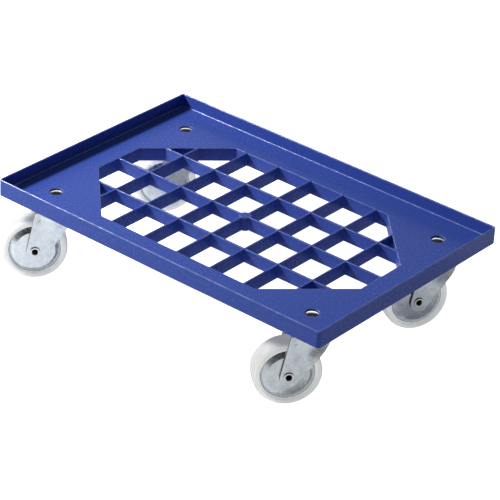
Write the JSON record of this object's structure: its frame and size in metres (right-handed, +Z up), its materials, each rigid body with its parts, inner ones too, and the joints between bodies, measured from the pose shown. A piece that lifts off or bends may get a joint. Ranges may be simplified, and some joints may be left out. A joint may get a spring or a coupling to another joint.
{
  "type": "container dolly",
  "caption": "Low wheeled dolly: a rimmed moulded plastic tray deck with an open lattice floor, carried on swivel castors, for moving stacked containers.",
  "frame": {"origin": "centre of the load face, the flat floor of the tray", "axes": "+X along the long side, +Y along the short side, +Z up, out of the load face"},
  "size_m": [0.6158, 0.4211, 0.16],
  "materials": {
    "blue_plastic": "moulded polypropylene, fine satin texture",
    "zinc_plate": "pressed steel, dull bright zinc plate",
    "bright_zinc": "bright zinc plated fastener",
    "white_nylon": "turned and moulded natural white nylon",
    "cage_plastic": "dark moulded bearing cage",
    "bearing_steel": "ground bearing steel"
  },
  "bodies": {
    "chassis": {"deck": "blue_plastic", "front_left_bolt": "bright_zinc", "front_right_bolt": "bright_zinc", "rear_left_bolt": "bright_zinc", "rear_right_bolt": "bright_zinc", "front_left_swivel_head": "zinc_plate", "front_right_swivel_head": "zinc_plate", "rear_left_swivel_head": "zinc_plate", "rear_right_swivel_head": "zinc_plate", "front_left_upper_balls": "bearing_steel", "front_right_upper_balls": "bearing_steel", "rear_left_upper_balls": "bearing_steel", "rear_right_upper_balls": "bearing_steel", "front_left_lower_balls": "bearing_steel", "front_right_lower_balls": "bearing_steel", "rear_left_lower_balls": "bearing_steel", "rear_right_lower_balls": "bearing_steel", "front_left_lower_race": "zinc_plate", "front_right_lower_race": "zinc_plate", "rear_left_lower_race": "zinc_plate", "rear_right_lower_race": "zinc_plate", "front_left_nut": "bright_zinc", "front_right_nut": "bright_zinc", "rear_left_nut": "bright_zinc", "rear_right_nut": "bright_zinc"},
    "front_left_fork_body": {"front_left_fork": "zinc_plate", "front_left_axle": "bright_zinc", "front_left_guards": "zinc_plate"},
    "front_left_wheel_body": {"front_left_wheel": "white_nylon", "front_left_cage": "cage_plastic", "front_left_rollers": "bearing_steel"},
    "front_right_fork_body": {"front_right_fork": "zinc_plate", "front_right_axle": "bright_zinc", "front_right_guards": "zinc_plate"},
    "front_right_wheel_body": {"front_right_wheel": "white_nylon", "front_right_cage": "cage_plastic", "front_right_rollers": "bearing_steel"},
    "rear_left_fork_body": {"rear_left_fork": "zinc_plate", "rear_left_axle": "bright_zinc", "rear_left_guards": "zinc_plate"},
    "rear_left_wheel_body": {"rear_left_wheel": "white_nylon", "rear_left_cage": "cage_plastic", "rear_left_rollers": "bearing_steel"},
    "rear_right_fork_body": {"rear_right_fork": "zinc_plate", "rear_right_axle": "bright_zinc", "rear_right_guards": "zinc_plate"},
    "rear_right_wheel_body": {"rear_right_wheel": "white_nylon", "rear_right_cage": "cage_plastic", "rear_right_rollers": "bearing_steel"}
  },
  "joints": [
    {"name": "front_left_swivel", "type": "hinge", "parent": "chassis", "child": "front_left_fork_body", "pos_m": [-0.245, -0.145, -0.022], "axis": [0, 0, 1], "continuous": true},
    {"name": "front_left_spin", "type": "hinge", "parent": "front_left_fork_body", "child": "front_left_wheel_body", "pos_m": [-0.26682, -0.1684, -0.0895], "axis": [0.7314, -0.682, 0], "continuous": true},
    {"name": "front_right_swivel", "type": "hinge", "parent": "chassis", "child": "front_right_fork_body", "pos_m": [0.245, -0.145, -0.022], "axis": [0, 0, 1], "continuous": true},
    {"name": "front_right_spin", "type": "hinge", "parent": "front_right_fork_body", "child": "front_right_wheel_body", "pos_m": [0.22443, -0.16951, -0.0895], "axis": [0.766, -0.6428, 0], "continuous": true},
    {"name": "rear_left_swivel", "type": "hinge", "parent": "chassis", "child": "rear_left_fork_body", "pos_m": [-0.245, 0.145, -0.022], "axis": [0, 0, 1], "continuous": true},
    {"name": "rear_left_spin", "type": "hinge", "parent": "rear_left_fork_body", "child": "rear_left_wheel_body", "pos_m": [-0.26641, 0.12122, -0.0895], "axis": [0.7431, -0.6691, 0], "continuous": true},
    {"name": "rear_right_swivel", "type": "hinge", "parent": "chassis", "child": "rear_right_fork_body", "pos_m": [0.245, 0.145, -0.022], "axis": [0, 0, 1], "continuous": true},
    {"name": "rear_right_spin", "type": "hinge", "parent": "rear_right_fork_body", "child": "rear_right_wheel_body", "pos_m": [0.229, 0.11729, -0.0895], "axis": [0.866, -0.5, 0], "continuous": true}
  ]
}
